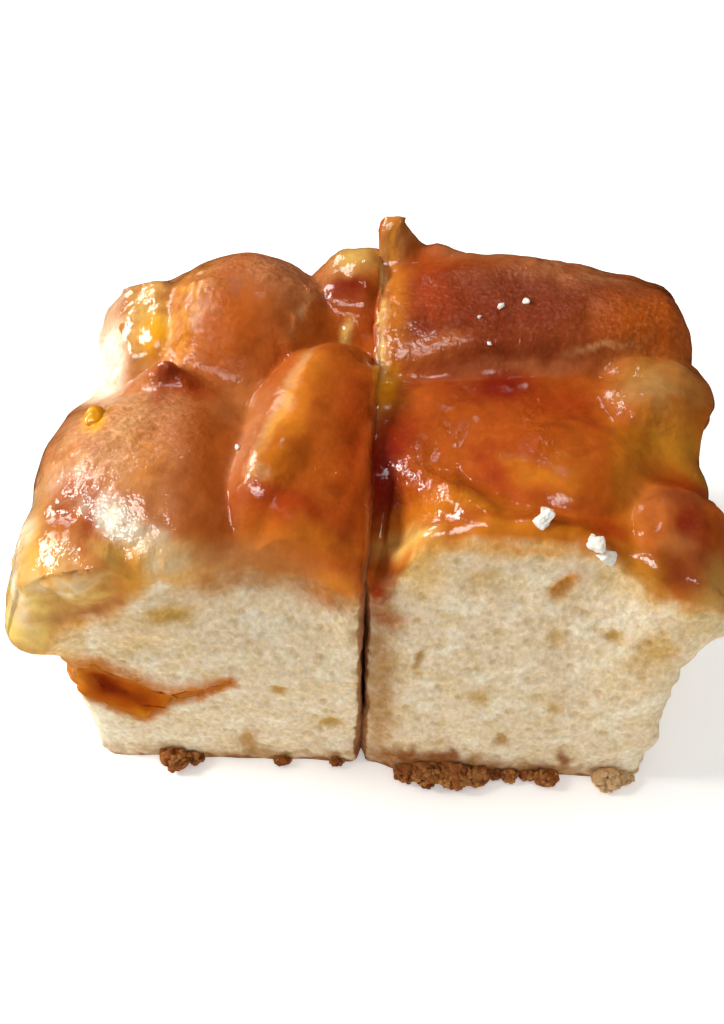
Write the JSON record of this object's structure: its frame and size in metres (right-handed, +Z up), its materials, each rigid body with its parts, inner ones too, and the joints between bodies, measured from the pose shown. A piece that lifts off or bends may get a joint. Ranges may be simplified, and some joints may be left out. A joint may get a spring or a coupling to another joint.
{
  "type": "apple caramel sheet cake",
  "caption": "Sheet cake of pale sponge with cooked apple chunks and caramel-glazed browned mounds on top, cut through and left together as slices side by side",
  "frame": {"origin": "middle of the cake's box, on the plane that its foot rests on", "axes": "+X across both slices to the right, +Y to the back, +Z up"},
  "size_m": [0.0933, 0.0622, 0.0604],
  "materials": {
    "sponge": "matte",
    "cooked_apple": "gloss",
    "caramel": "gloss"
  },
  "bodies": {
    "root": {"slice_left": "sponge", "slice_right": "sponge", "caramel_pocket": "caramel", "apple_ridge_left": "cooked_apple", "apple_back_left": "cooked_apple", "apple_front_left": "cooked_apple", "apple_back_middle": "cooked_apple", "apple_side_right": "cooked_apple", "apple_centre_right": "cooked_apple", "apple_corner_right": "cooked_apple"}
  },
  "joints": []
}
